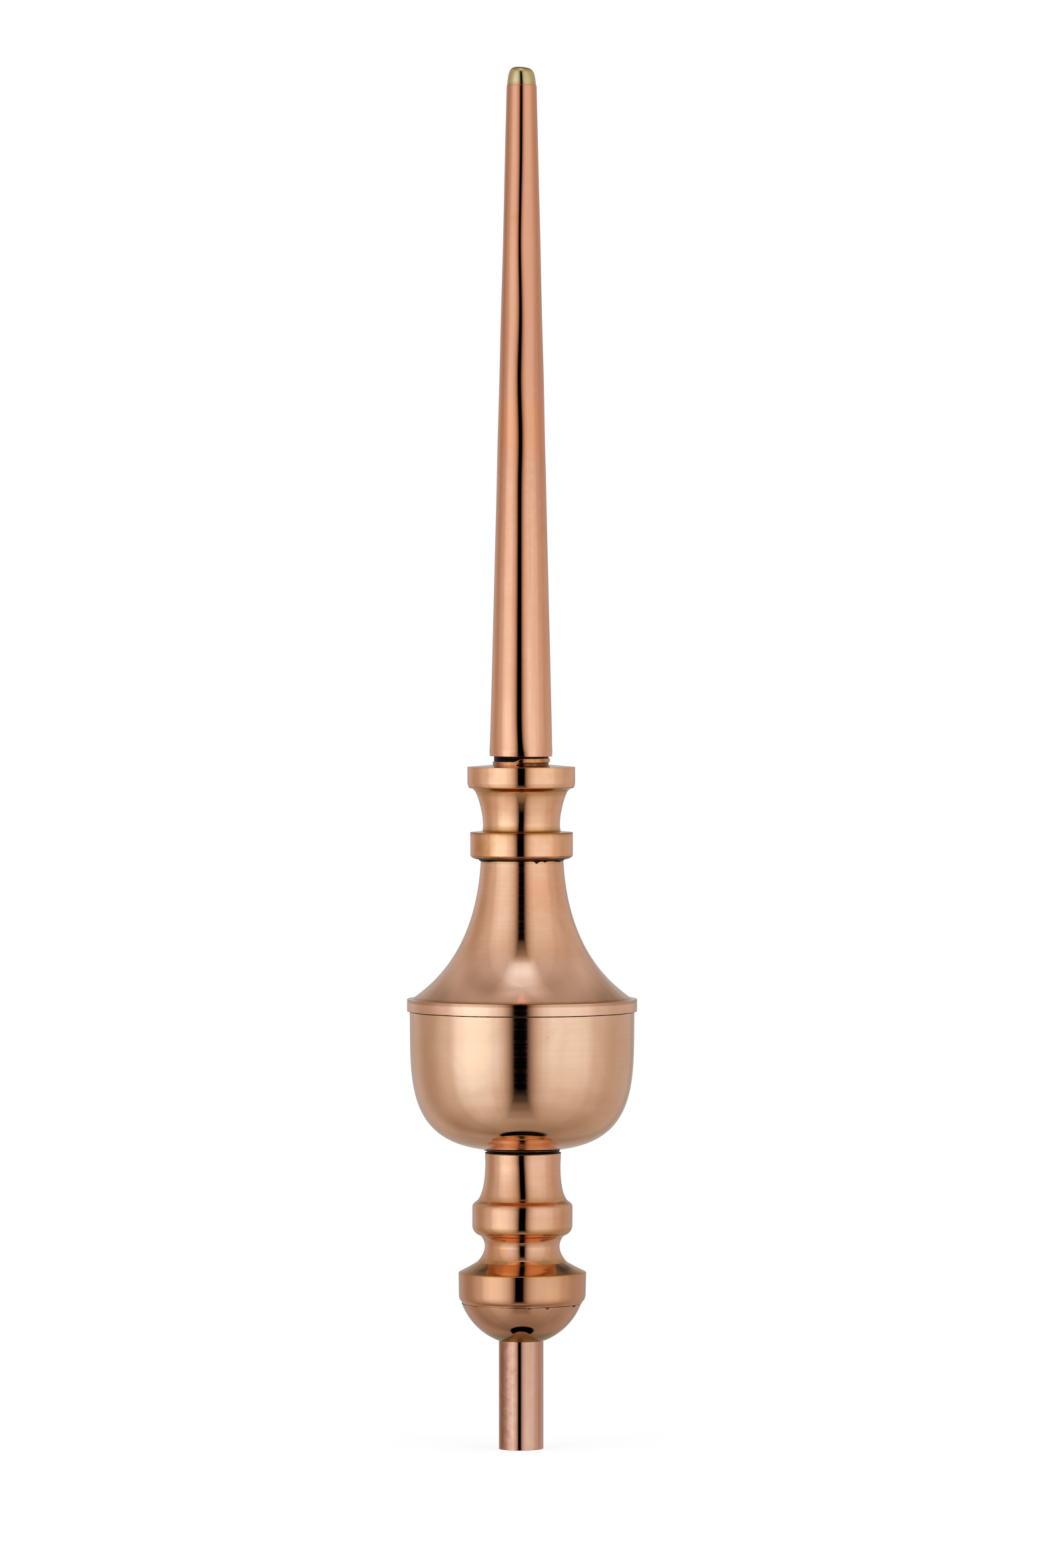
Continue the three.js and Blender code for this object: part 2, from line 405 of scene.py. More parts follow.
# %% Heat spot and painted shade spot group
heat_and_shade_spot, given, result = new_group(
    "heat_and_shade_spot",
    {"Place": (vector, None), "Centre": (vector, None), "Reach": (number, 4 * mm)},
    {"Spot": number},
)
wobble = noise(heat_and_shade_spot, given["Place"], 260.0, 2.0)
ends = {0: given["Place"], 1: given["Centre"]}
gap_to_spot = add(heat_and_shade_spot, "ShaderNodeVectorMath", {"operation": "DISTANCE"}, ends)
share = calc(heat_and_shade_spot, "DIVIDE", gap_to_spot.outputs["Value"], given["Reach"])
share = plus(heat_and_shade_spot, share, times(heat_and_shade_spot, wobble, 0.7))
heat_and_shade_spot.links.new(smooth_range(heat_and_shade_spot, share, 0.35, 1.35, 1.0, 0.0), result["Spot"])

# %% [markdown]
# ## Drawing lines
#
# The spire and the stem are tubes, drawn through a die rather than spun. Their marks run lengthwise, so this
# noise changes fast across x and y and slowly along z.

# %% Drawing lines group
lengthwise_scale = 9.0
drawing_lines, given, result = new_group(
    "drawing_lines", {"Place": (vector, None), "Lines": (number, 700.0)}, {"Height": number, "Gleam": number}
)
parts = add(drawing_lines, "ShaderNodeSeparateXYZ", feeds={0: given["Place"]}).outputs
across = [times(drawing_lines, parts[k], given["Lines"]) for k in (0, 1)]
length_run = times(drawing_lines, parts[2], lengthwise_scale)
feeds = {0: across[0], 1: across[1], 2: length_run}
spot = add(drawing_lines, "ShaderNodeCombineXYZ", feeds=feeds).outputs[0]
line_noise = noise(drawing_lines, spot, 1.0, 3.0)
drawing_lines.links.new(line_noise, result["Height"])
drawing_lines.links.new(smooth_range(drawing_lines, line_noise, 0.35, 0.7), result["Gleam"])

# %% [markdown]
# ## Colours of heated copper and painted shade
#
# Copper reddens where a torch warms it, and flux burns to olive. A brown and a near black are painted shade:
# the brown for inner corners and overhangs, the near black for seams, partly dirt in the joints and partly
# shade in creases and gaps. A few such colours come back on several pieces, so they have names. A mask from
# one of the groups then lays a colour over the metal.


# %% Colours of heated copper
copper_red = (0.80, 0.26, 0.12)
copper_orange = (0.95, 0.42, 0.17)
copper_blush = (0.86, 0.34, 0.14)
# Painted shade: the brown laid in inner corners and under overhangs.
crease_shade_brown = (0.62, 0.28, 0.06)
flux_olive = (0.36, 0.27, 0.07)
# Near black: partly dirt in the joints, partly painted shade in creases and gaps.
seam_dirt_and_shade_black = (0.009, 0.005, 0.003)


def mix_colour(tree, share, first, second):
    """Mixes two colours by a share from 0 to 1."""
    settings = {"data_type": "RGBA", "clamp_factor": True}
    return add(tree, "ShaderNodeMix", settings, {0: share, 6: first, 7: second}).outputs[2]


def lay_over(tree, colour, mask, strength, tint):
    """Lays a tint over a colour where a mask is strong."""
    return mix_colour(tree, times(tree, mask, strength), colour, (*tint, 1))


# %% [markdown]
# ## The copper finishes
#
# One function makes each copper: a clean colour, a warmer tarnished one that the clouds bring in, marks that
# either ring the axis or run along it, films and seams at named heights and spots at named places, some of
# them painted shade. What is the same all over, such as the metallic value, stays on the shader's own socket.


# %% Copper finish

def metal(
    name,
    clean,
    tarnished,
    rough,
    marks,
    depth,
    seams=(),
    films=(),
    spots=(),
    cloud_size=30.0,
    lines=False,
    blush=0.0,
    worn=0.0,
):
    """A polished metal. Rough is (least, most) roughness, marks the densities of its rings or lines a metre,
    depth how deep they read, seams (height, reach, jag), films (height, reach, colour, strength) and spots
    (centre, reach, colour, strength). Blush is the strength of the orange mottling and worn that of the
    rings' or lines' own tint."""
    material = bpy.data.materials.new(name)
    material.use_nodes = True
    tree = material.node_tree
    shader = tree.nodes["Principled BSDF"]
    shader.inputs["Metallic"].default_value = 1.0
    where = add(tree, "ShaderNodeTexCoord").outputs["Object"]
    tarnish = use_group(tree, cloudy_tarnish, {"Place": where, "Size": cloud_size})
    colour = mix_colour(tree, tarnish["Cloud"], (*clean, 1), (*tarnished, 1))
    if lines:
        worked = use_group(tree, drawing_lines, {"Place": where, "Lines": marks[0]})
    else:
        along = add(tree, "ShaderNodeAttribute", {"attribute_name": "along"}).outputs["Fac"]
        feeds = {"Place": where, "Along": along, "Fine": marks[0], "Coarse": marks[1]}
        worked = use_group(tree, turning_marks, feeds)
    colour = lay_over(tree, colour, tarnish["Fleck"], 0.35, [0.45 * c for c in clean])
    colour = lay_over(tree, colour, tarnish["Blush"], blush, copper_blush)
    worn_colour = (0.82 * tarnished[0], 0.74 * tarnished[1], 0.68 * tarnished[2])
    colour = lay_over(tree, colour, worked["Gleam"], worn, worn_colour)
    if lines:
        broad = use_group(tree, drawing_lines, {"Place": where, "Lines": 0.3 * marks[0]})
        colour = lay_over(tree, colour, broad["Gleam"], worn, worn_colour)
    # Films lay bands of another tone; the brown ones in corners and under overhangs are painted shade.
    for film, reach, tint, strength in films:
        feeds = {"Place": where, "Seam": film, "Reach": reach, "Jag": 0.3 * reach}
        colour = lay_over(tree, colour, use_group(tree, seam_dirt_and_shade, feeds)["Band_mask"], strength, tint)
    # Spots lay patches: heat marks and specks, and on some pieces painted shade on the darker side.
    for centre, reach, tint, strength in spots:
        feeds = {"Place": where, "Centre": centre, "Reach": reach}
        colour = lay_over(tree, colour, use_group(tree, heat_and_shade_spot, feeds)["Spot"], strength, tint)
    rough_share = times(tree, worked["Gleam"], 0.6)
    rough_share = plus(tree, rough_share, times(tree, tarnish["Cloud"], 0.4))
    roughness = smooth_range(tree, rough_share, 0.0, 1.0, rough[0], rough[1])
    # Seams turn near black: partly dirt in the joint, partly painted shade in the crease or gap.
    for seam, reach, jag in seams:
        feeds = {"Place": where, "Seam": seam, "Reach": reach, "Jag": jag}
        dirt_and_shade = use_group(tree, seam_dirt_and_shade, feeds)["Band_mask"]
        colour = mix_colour(tree, dirt_and_shade, colour, (*seam_dirt_and_shade_black, 1))
        roughness = plus(tree, roughness, times(tree, dirt_and_shade, 0.4))
    bump = add(tree, "ShaderNodeBump", feeds={"Height": worked["Height"], "Strength": 1.0, "Distance": depth})
    tree.links.new(colour, shader.inputs["Base Color"])
    tree.links.new(roughness, shader.inputs["Roughness"])
    tree.links.new(bump.outputs[0], shader.inputs["Normal"])
    print("finish", name, "has", len(tree.nodes), "nodes")
    return material


# %% [markdown]
# ## Places seen in the photo
#
# A few marks are worth keeping: a reddish spot on the spire, warm patches on the bell and the cap. A place on
# the front is given by its angle from the camera's side, its radius and its height.


# %% Places on the front
def front(turn, radius, height):
    """The point at an angle from the camera's side, positive to the right, at a radius and a height."""
    a = math.radians(turn)
    return (radius * math.sin(a), -radius * math.cos(a), height)


# %% [markdown]
# ## Stem pipe
#
# Plain copper pipe, cut square and lightly filed at the foot. It is open, so its outline is a closed ring in
# section. It is a little out of round, and its left flank is painted darker than the rest, a painted shade.

# %% Stem pipe
stem_wall = 1.15 * mm
stem_bore = stem_radius - stem_wall
stem_line = outline(
    (stem_bore, stem_foot),
    (stem_radius, stem_foot),
    (stem_radius, stem_top),
    (stem_bore, stem_top),
    (stem_bore, stem_foot),
    corner=0.25 * mm,
    longest=2.0 * mm,
    closed=True,
)


def stem_wander(angle, height, radius):
    """A drawn tube whose front faces a few degrees to the left. The draw bench left six very low ridges,
    which narrow the dark line on the front: r grows by radius·0.003·cos 6(a - ridge)."""
    drift = waves(angle, height, (0.010 * mm, 0.006 * mm), (2, 3), (0.31, 0.12), seed=3)
    ridge = 0.003 * radius * np.cos(6 * (angle + math.radians(5.0)))
    return facing(angle, radius, -2.9) + ridge + drift


stem_aside = (-0.45 * mm, -0.45 * mm)
stem_pipe = turned("stem_pipe_skin", stem_line, stem_wander, around=160, closed=True, aside=stem_aside)
# Painted shade colour for the stem's left flank.
stem_left_shade = (0.38, 0.14, 0.065)
left_shade_heights = [z * mm for z in range(4, 60, 11)]
stem_copper = metal(
    "stem_copper",
    (0.78, 0.42, 0.285),
    (0.72, 0.36, 0.225),
    rough=(0.025, 0.06),
    marks=(620.0,),
    depth=0.002 * mm,
    cloud_size=45.0,
    lines=True,
    seams=[(stem_top, 0.5 * mm, 0.4 * mm)],
    worn=0.4,
    # Painted shade: a darker column down the left flank, one patch every 11 mm of height.
    spots=[(front(-72, stem_radius, z), 14 * mm, stem_left_shade, 0.85) for z in left_shade_heights],
)
dress(stem_pipe, stem_copper, "stem_copper", "stem_pipe")

# %% [markdown]
# ## Half ball
#
# Half of a 2.5 inch spun ball closes the cap from below. The stem goes up through its underside, where
# solder closes the joint and leaves an olive stain. The socket over the stem's top keeps the two skins apart.

# %% Half ball
ball_drop = math.sqrt(ball_radius**2 - ball_cut_radius**2)
ball_centre = ball_top + ball_drop
socket_radius = stem_radius + 0.3 * mm
mouth_angle = -math.acos(socket_radius / ball_radius)
cut_angle = -math.asin(ball_drop / ball_radius)
sweep = np.linspace(mouth_angle, cut_angle, 80)
ball_skin = np.stack([ball_radius * np.cos(sweep), ball_centre + ball_radius * np.sin(sweep)], axis=1)
ball_line = outline(
    (0.0, stem_top),
    (socket_radius, stem_top),
    (socket_radius, ball_skin[0, 1]),
    ball_skin,
    (0.0, ball_top),
    corner=0.2 * mm,
    longest=0.9 * mm,
)
ball_wander = spun_waves((0.03, 0.02), (2, 3), (0.05, 0.03), 5, ball_radius)
half_ball = turned("half_ball_skin", ball_line, ball_wander, around=224, aside=(-0.2 * mm, -0.2 * mm))
ball_copper = metal(
    "ball_copper",
    (0.745, 0.385, 0.225),
    (0.70, 0.345, 0.19),
    rough=(0.03, 0.065),
    marks=(1100.0, 170.0),
    depth=0.002 * mm,
    worn=0.12,
    seams=[(baluster_foot, 0.16 * mm, 0.3 * mm)],
    films=[(ball_foot, 6 * mm, flux_olive, 0.9)],
)
dress(half_ball, ball_copper, "polished_copper", "half_ball")
print("half ball centre at", round(ball_centre / mm, 2), "mm")

# %% [markdown]
# ## Baluster
#
# The baluster carries the vase: a straight cap band over the half ball, a hollow cone up to the waist, a
# round ring and a neck that draws in and flares a little under the bowl. A narrow step below the bowl's foot
# is the dark groove. The cone starts in three short straight cuts and then curves.

# %% Baluster
edge_break = 0.4 * mm
cap_top = baluster_foot + 15.7 * mm
waist = (18.6 * mm, cap_top + 12.7 * mm)
cone_top = (20.9 * mm, cap_top + 6.5 * mm)
ring_under = (21.25 * mm, waist[1] + 5.4 * mm)
ring_foot = (24.9 * mm, ring_under[1] + 5.1 * mm)
ring_top = (24.9 * mm, ring_foot[1] + 9.0 * mm)
neck_foot = (21.93 * mm, ring_top[1] + 3.8 * mm)
neck = (18.7 * mm, neck_foot[1] + 17.8 * mm)
groove_foot = baluster_top - 1.0 * mm
neck_top_radius = 18.9 * mm
groove_radius = neck_top_radius - 0.9 * mm
baluster_line = outline(
    (0.0, baluster_foot),
    curve(
        (ball_cut_radius, baluster_foot),
        (ball_radius - edge_break / 2, baluster_foot + 5 * mm),
        (0.02, 0.29),
        (1, 0.17),
    ),
    (ball_radius, cap_top - edge_break),
    (ball_radius - edge_break, cap_top),
    (26.7 * mm, cap_top + 2.35 * mm),
    (22.3 * mm, cap_top + 4.85 * mm),
    curve(cone_top, waist, (0.45, 0.25), (1, 0.6)),
    curve(waist, ring_under, (0, 0.57), (0.89, 1.05)),
    curve(ring_under, ring_foot, (0.95, 0.26), (1, 0.82)),
    curve(ring_top, neck_foot, (0, 0.58), (0.83, 0.74)),
    curve(neck_foot, neck, (0.78, 0.21), (1, 0.6)),
    (neck_top_radius, groove_foot),
    (groove_radius, groove_foot),
    (groove_radius, baluster_top),
    (0.0, baluster_top),
    corner=0.25 * mm,
    longest=1.0 * mm,
    turn=5.0,
)
# %% [markdown]
# The ring and the cap of the real baluster don't reflect quite the same side of the room, so they aren't
# turned true to one another. A table of heights and turns says how far each one faces aside.

# %% Baluster surface
facing_heights = (0.088, 0.092, 0.114, 0.127, 0.139, 0.144)
facing_turns = (-1.6, 1.0, 0.35, 1.3, -0.35, -1.3)


def baluster_wander(angle, height, radius):
    """Cap, ring and neck each face a little aside of one another, with slow waves on top. The cone also
    keeps the tool's ripple: r grows by 0.006 mm · cos(2π·height / 2.2 mm) from the cap band to its top."""
    turn = np.interp(height, facing_heights, facing_turns)
    drift = waves(angle, height, (0.012 * mm, 0.008 * mm), (2, 3), (0.11, 0.06), seed=7)
    on_cone = np.clip((height - cap_top) / mm, 0, 1) * np.clip((cone_top[1] - height) / mm, 0, 1)
    ripple = on_cone * 0.006 * mm * np.cos(2 * np.pi * height / (2.2 * mm))
    return facing(angle, radius, turn) + ripple + drift * radius / ball_radius


baluster = turned("baluster_skin", baluster_line, baluster_wander, around=224, aside=(0.0, 0.5 * mm))

# %% [markdown]
# The torch left the cap warmest. The brown film in each inner corner and under the ring is painted shade, and
# flux dried in dark olive spots on the cone. Films ring the axis at a height, and spots sit at a place on the
# front.

# %% Baluster finish
polished_copper = metal(
    "polished_copper",
    (0.87, 0.44, 0.25),
    (0.80, 0.385, 0.205),
    rough=(0.035, 0.08),
    marks=(1100.0, 170.0),
    depth=0.002 * mm,
    blush=0.3,
    worn=0.12,
    seams=[
        (baluster_foot, 0.16 * mm, 0.3 * mm),
        # The wide near-black band under the bowl is painted shade in the groove.
        (baluster_top - 0.5 * mm, 1.25 * mm, 0.05 * mm),
    ],
    films=[
        (baluster_foot + 8 * mm, 16 * mm, (0.70, 0.32, 0.16), 0.9),
        # Brown films in the inner corners and under the ring: painted shade.
        (cap_top + 3.0 * mm, 6 * mm, crease_shade_brown, 0.6),
        (ring_under[1] + 2 * mm, 4 * mm, crease_shade_brown, 0.4),
        (neck_foot[1], 3 * mm, crease_shade_brown, 0.3),
    ],
    spots=[
        (front(29, ball_radius, 0.079), 9 * mm, copper_orange, 0.3),
        (front(50, 26.6 * mm, 0.0905), 6.5 * mm, (0.09, 0.07, 0.035), 0.95),
        (front(62, 25.4 * mm, 0.0915), 5 * mm, (0.12, 0.10, 0.05), 0.9),
        (front(-46, 27.0 * mm, 0.0900), 5.5 * mm, (0.13, 0.09, 0.05), 0.9),
        (front(-38, 18.7 * mm, 0.1000), 9 * mm, (0.78, 0.31, 0.13), 0.7),
    ],
)
dress(baluster, polished_copper, "polished_copper", "baluster")

# %% [markdown]
# ## Bowl
#
# The deep bowl of the vase is the largest spinning. Its wall is nearly straight above and turns in faster and
# faster below, down to a short foot over the groove.

# %% Bowl
skirt_line = skirt_foot - 1.1 * mm
foot_top = bowl_foot + 0.4 * mm
shell_start = (neck_top_radius + 0.3 * mm, foot_top + 0.3 * mm)
bowl_line = outline(
    (0.0, bowl_foot),
    (neck_top_radius, bowl_foot),
    (neck_top_radius, foot_top),
    curve(shell_start, (bowl_radius, bowl_top), (1.15, 0.06), (0.96, 0.56), steps=200),
    (0.0, bowl_top),
    corner=0.25 * mm,
    longest=1.2 * mm,
    turn=3.0,
)
bowl_wander = spun_waves((0.03, 0.02, 0.005, 0.003), (2, 3, 1, 0), (0.4, 0.2, 0.022, 0.009), 11, bowl_radius)
bowl = turned("bowl_skin", bowl_line, bowl_wander, aside=(0.1 * mm, 0.1 * mm))
spun_copper = metal(
    "spun_copper",
    (0.935, 0.535, 0.325),
    (0.885, 0.485, 0.28),
    rough=(0.05, 0.12),
    marks=(1000.0, 210.0),
    depth=0.0015 * mm,
    worn=0.08,
    # Seams: the band over the foot is painted shade down into the groove; the line under the skirt is partly
    # a dark joint, partly painted shade.
    seams=[(bowl_foot, 0.8 * mm, 0.3 * mm), (skirt_line - 0.1 * mm, 0.45 * mm, 0.15 * mm)],
    spots=[(front(13, 56 * mm, 0.2074), 1.2 * mm, (0.55, 0.25, 0.13), 0.5)],
)
dress(bowl, spun_copper, "spun_copper", "bowl")

# %% [markdown]
# ## Bell
#
# The bell flares down from a narrow neck to the rim, where its edge is turned down as a skirt that grips the
# bowl. The skirt's foot is the fine line round the rim, a millimetre lower here than on the plain solid.

# %% Bell
lip = bowl_top + 0.8 * mm
skirt_inside = rim_radius - 0.8 * mm
bell_line = outline(
    (0.0, bowl_top),
    (skirt_inside, bowl_top),
    (skirt_inside, skirt_line),
    (rim_radius, skirt_line),
    (rim_radius, lip),
    curve((rim_radius - 2.6 * mm, lip), (20.5 * mm, bell_top), (0.256, 0.095), (0.933, 0.326), steps=200),
    (0.0, bell_top),
    corner=0.3 * mm,
    longest=1.2 * mm,
    turn=3.0,
)
bell_wander = spun_waves((0.03, 0.02, 0.005, 0.003), (2, 3, 1, 0), (0.3, 0.15, 0.018, 0.008), 13, rim_radius)
bell = turned("bell_skin", bell_line, bell_wander, aside=(0.1 * mm, 0.1 * mm))
bell_copper = metal(
    "bell_copper",
    (0.96, 0.515, 0.30),
    (0.905, 0.465, 0.255),
    rough=(0.06, 0.13),
    marks=(1000.0, 210.0),
    depth=0.0045 * mm,
    worn=0.14,
    # The line at the skirt's foot is partly a dark joint, partly painted shade.
    seams=[(skirt_line, 0.25 * mm, 0.15 * mm)],
    films=[
        (0.232, 18 * mm, (0.98, 0.585, 0.395), 0.8),
        # Painted shade on the rounded upper edge of the rim.
        (lip - 0.4 * mm, 1.8 * mm, (0.62, 0.29, 0.14), 0.8),
        # Painted shade in the crease under the upper spool.
        (bell_top, 2.5 * mm, crease_shade_brown, 0.5),
    ],
    spots=[
        (front(24, 24 * mm, 0.2800), 24 * mm, (0.86, 0.355, 0.165), 0.65),
        (front(13, 26 * mm, 0.2785), 9 * mm, copper_orange, 0.4),
        (front(10, 42 * mm, 0.2365), 1.8 * mm, copper_orange, 0.6),
    ],
)
dress(bell, bell_copper, "spun_copper", "bell")

# %% [markdown]
# ## Upper spool
#
# Base ring, hollow and flange are one turned piece. A spigot stands on the flange, darkened with painted
# shade, and goes on up inside the spire's socket. Round it lies a loose copper ring, sunk on its left, and
# the spire's foot stops above.

# %% Upper spool
base_ring_radius = 25.5 * mm
base_ring_top = spool_foot + 13.6 * mm
hollow_foot = (19.55 * mm, base_ring_top + 0.5 * mm)
flange_under = (23.0 * mm, hollow_foot[1] + 19.7 * mm)
flange_foot = flange_under[1] + 4.2 * mm
flange_top = flange_foot + 8.0 * mm
spigot_radius = 13.6 * mm
spigot_foot = flange_top + 1.1 * mm
spigot_top = spool_top + 3.0 * mm
spool_line = outline(
    (0.0, spool_foot),
    curve((20.8 * mm, spool_foot), (base_ring_radius, spool_foot + 2.5 * mm), (0.6, 0.15), (1, 0.4)),
    (base_ring_radius, base_ring_top),
    curve(hollow_foot, flange_under, (-0.41, 0.17), (0.24, 0.76)),
    curve(flange_under, (flange_radius, flange_foot), (0.68, 0.75), (0.79, -0.07)),
    (flange_radius, flange_top),
    (spigot_radius, spigot_foot),
    (spigot_radius, spigot_top),
    (0.0, spigot_top),
    corner=0.3 * mm,
    longest=0.9 * mm,
    turn=5.0,
)


def spool_wander(angle, height, radius):
    """The base ring faces about one degree to the left of the flange, with slow shallow waves on top."""
    turn = np.interp(height, (base_ring_top, base_ring_top + 6 * mm), (-0.15, 0.8))
    drift = waves(angle, height, (0.012 * mm, 0.008 * mm), (2, 3), (0.09, 0.05), seed=17)
    return facing(angle, radius, turn) + drift * radius / flange_radius


spool_aside = (-0.15 * mm, -0.27 * mm)
upper_spool = turned("upper_spool_skin", spool_line, spool_wander, around=224, aside=spool_aside)

# %% [markdown]
# Thin brown films at the foot and the top of the hollow, on the flange's underside and under the base ring
# are painted shade in the inner corners and under overhangs. The spigot has a film of very dark red, painted
# shade in the recess under the spire's foot. Near black fills the joints above and below, partly dirt and
# partly painted shade.

# %% Upper spool finish
spool_copper = metal(
    "spool_copper",
    (0.975, 0.495, 0.27),
    (0.905, 0.44, 0.225),
    rough=(0.035, 0.08),
    marks=(1100.0, 170.0),
    depth=0.002 * mm,
    blush=0.35,
    worn=0.12,
    # The wide near-black seam over the spigot is painted shade in the gap under the spire's foot; the one
    # under the base ring is partly a dark joint, partly painted shade.
    seams=[(spool_top + 0.6 * mm, 3.6 * mm, 0.3 * mm), (spool_foot + 0.3 * mm, 1.1 * mm, 0.5 * mm)],
    films=[
        # The brown and dark red films here are painted shade, except the orange one on the flange's top edge.
        (hollow_foot[1], 3.2 * mm, crease_shade_brown, 0.5),
        (hollow_foot[1] - 0.2 * mm, 1.5 * mm, (0.42, 0.13, 0.02), 0.9),
        (flange_under[1], 3.0 * mm, crease_shade_brown, 0.5),
        (flange_under[1] + 1.2 * mm, 1.6 * mm, (0.45, 0.19, 0.03), 0.6),
        (flange_top + 0.5 * mm, 1.3 * mm, (0.82, 0.36, 0.10), 0.9),
        (spigot_foot + 1.1 * mm, 1.7 * mm, (0.09, 0.02, 0.008), 0.95),
        (spool_foot + 1.4 * mm, 1.1 * mm, (0.34, 0.15, 0.06), 0.8),
    ],
    spots=[
        (front(-52, base_ring_radius, 0.2990), 14 * mm, (0.78, 0.33, 0.12), 0.9),
        (front(40, base_ring_radius, 0.2952), 7 * mm, copper_orange, 0.7),
    ],
)
dress(upper_spool, spool_copper, "polished_copper", "upper_spool")

# %% [markdown]
# The loose ring round the spigot is a small closed outline like the pipe's. A cut lowers its left half.

# %% Seat ring
seat_inside, seat_outside = spigot_radius + 0.05 * mm, spigot_radius + 0.6 * mm
seat_foot, seat_top = spigot_foot + 1.1 * mm, spigot_foot + 3.1 * mm
seat_drop = 1.6 * mm
seat_line = outline(
    (seat_inside, seat_foot),
    (seat_outside, seat_foot),
    (seat_outside, seat_top),
    (seat_inside, seat_top),
    (seat_inside, seat_foot),
    corner=0.25 * mm,
    longest=0.6 * mm,
    closed=True,
)


def seat_wander(angle, height, radius):
    """Nearly round, with slow waves of up to three hundredths of a millimetre."""
    return waves(angle, height, (0.02 * mm, 0.01 * mm), (3, 7), (0.03, 0.02), seed=37)


def seat_cut(angle, height, radius):
    """The left half lies 1.6 mm lower: a smooth step share²·(3 - 2·share) that follows sin(angle)."""
    share = np.clip(0.5 - 3.0 * (np.sin(angle) + 0.12), 0.0, 1.0)
    return -seat_drop * share**2 * (3 - 2 * share)


seat_ring = turned(
    "seat_ring",
    seat_line,
    seat_wander,
    around=224,
    closed=True,
    cut=seat_cut,
    aside=(-0.27 * mm, -0.27 * mm),
)
seat_copper = metal(
    "seat_copper",
    (0.86, 0.38, 0.15),
    (0.58, 0.20, 0.07),
    rough=(0.08, 0.22),
    marks=(900.0, 300.0),
    depth=0.006 * mm,
    cloud_size=110.0,
    blush=0.4,
    # The dark patch on the left is painted shade where the ring sinks into the gap.
    spots=[(front(-75, 14.1 * mm, spigot_foot + 0.5 * mm), 16 * mm, (0.36, 0.16, 0.10), 0.9)],
)
dress(seat_ring, seat_copper, "polished_copper")

# %% [markdown]
# ## Spire
#
# The spire is a long tapered tube, drawn and planished by hand, and its mirror shows it: the dark line down
# its front wanders. So its front faces a few degrees aside, more and less along its length. Its foot is a
# short socket, and its copper dulls towards the tip.

# %% Spire
spire_end_radius = tip_radius + 0.25 * mm
socket_wall = spigot_radius + 0.4 * mm
socket_top = spigot_top + 0.8 * mm
spire_line = outline(
    (0.0, socket_top),
    (socket_wall, socket_top),
    (socket_wall, spire_foot),
    (spire_radius - 0.2 * mm, spire_foot),
    (spire_radius, spire_foot + 3 * mm),
    (spire_end_radius, spire_top),
    (0.0, spire_top),
    corner=0.25 * mm,
    longest=2.0 * mm,
    turn=5.0,
)
# %% [markdown]
# A planishing hammer leaves low facets. They can't be measured in a photo, but the dark line can: where it
# stands to the left the tube faces left, and where it widens or narrows the tube is a little flatter or
# rounder. Two small tables hold that: for each height, a turn in degrees and a share of the radius.

# %% Spire surface
hammered = (0.345, 0.352, 0.360, 0.480, 0.499, 0.511, 0.528, 0.541, 0.557, 0.568, 0.582)
hammered += (0.598, 0.615, 0.638, 0.673)
faces_aside = (0.1, -1.1, -2.3, -2.6, -0.7, -1.7, -4.5, -3.8, -1.4, -1.2, -2.9, -5.2, -3.6, -1.0, -0.3)
ridge_heights = (0.344, 0.350, 0.380, 0.460, 0.500, 0.540, 0.570, 0.600, 0.650)
ridge_shares = (-0.012, -0.004, -0.003, -0.001, -0.004, -0.004, 0.002, 0.006, -0.001)


def spire_wander(angle, height, radius):
    """The front of the tube faces a few degrees to the left, more and less where the hammer left it. It is
    also a little flatter or rounder, r growing by radius·share·cos 6(a - ridge), which widens or narrows the
    dark line."""
    soft = [np.interp(height + step * mm, hammered, faces_aside) for step in (-6, -2, 2, 6)]
    drift = waves(angle, height, (0.010 * mm, 0.004 * mm), (2, 3), (0.4, 0.1), seed=19)
    share = np.interp(height, ridge_heights, ridge_shares)
    ridge = share * radius * np.cos(6 * (angle + math.radians(3.5)))
    return facing(angle, radius, sum(soft) / 4) + ridge + drift * radius / spire_radius


def spire_cut(angle, height, radius):
    """The foot stops 1.1 mm above the solid's, a little more on the left, fading out a few millimetres up."""
    fade = np.clip(1.0 - (height - spire_foot) / (9 * mm), 0.0, 1.0)
    return fade * mm * (1.1 - 0.1 * np.sin(angle) * radius / spire_radius)


spire_aside = (-0.5 * mm, -0.14 * mm)
spire = turned("spire_skin", spire_line, spire_wander, around=192, cut=spire_cut, aside=spire_aside)

# %% [markdown]
# The tube's finish has lines along it instead of rings. One very wide film, centred above the tip, makes the
# copper redder towards the top, and a narrow one is a redder band near the middle.

# %% Spire finish
spire_copper = metal(
    "spire_copper",
    (0.99, 0.495, 0.285),
    (0.93, 0.435, 0.24),
    rough=(0.03, 0.07),
    marks=(520.0,),
    depth=0.003 * mm,
    cloud_size=22.0,
    lines=True,
    seams=[(spire_foot, 0.35 * mm, 0.5 * mm)],
    worn=0.35,
    films=[(0.70, 0.36, (0.77, 0.32, 0.17), 0.9), (0.507, 18 * mm, (0.88, 0.34, 0.15), 0.5)],
    spots=[(front(-20, 9.2 * mm, 0.6102), 4 * mm, copper_red, 0.6)],
)
dress(spire, spire_copper, "spire_copper", "spire")

# %% [markdown]
# ## Brass tip
#
# A small domed cap of brass closes the spire. It sits a hair off square, so its top is highest left of the
# middle.

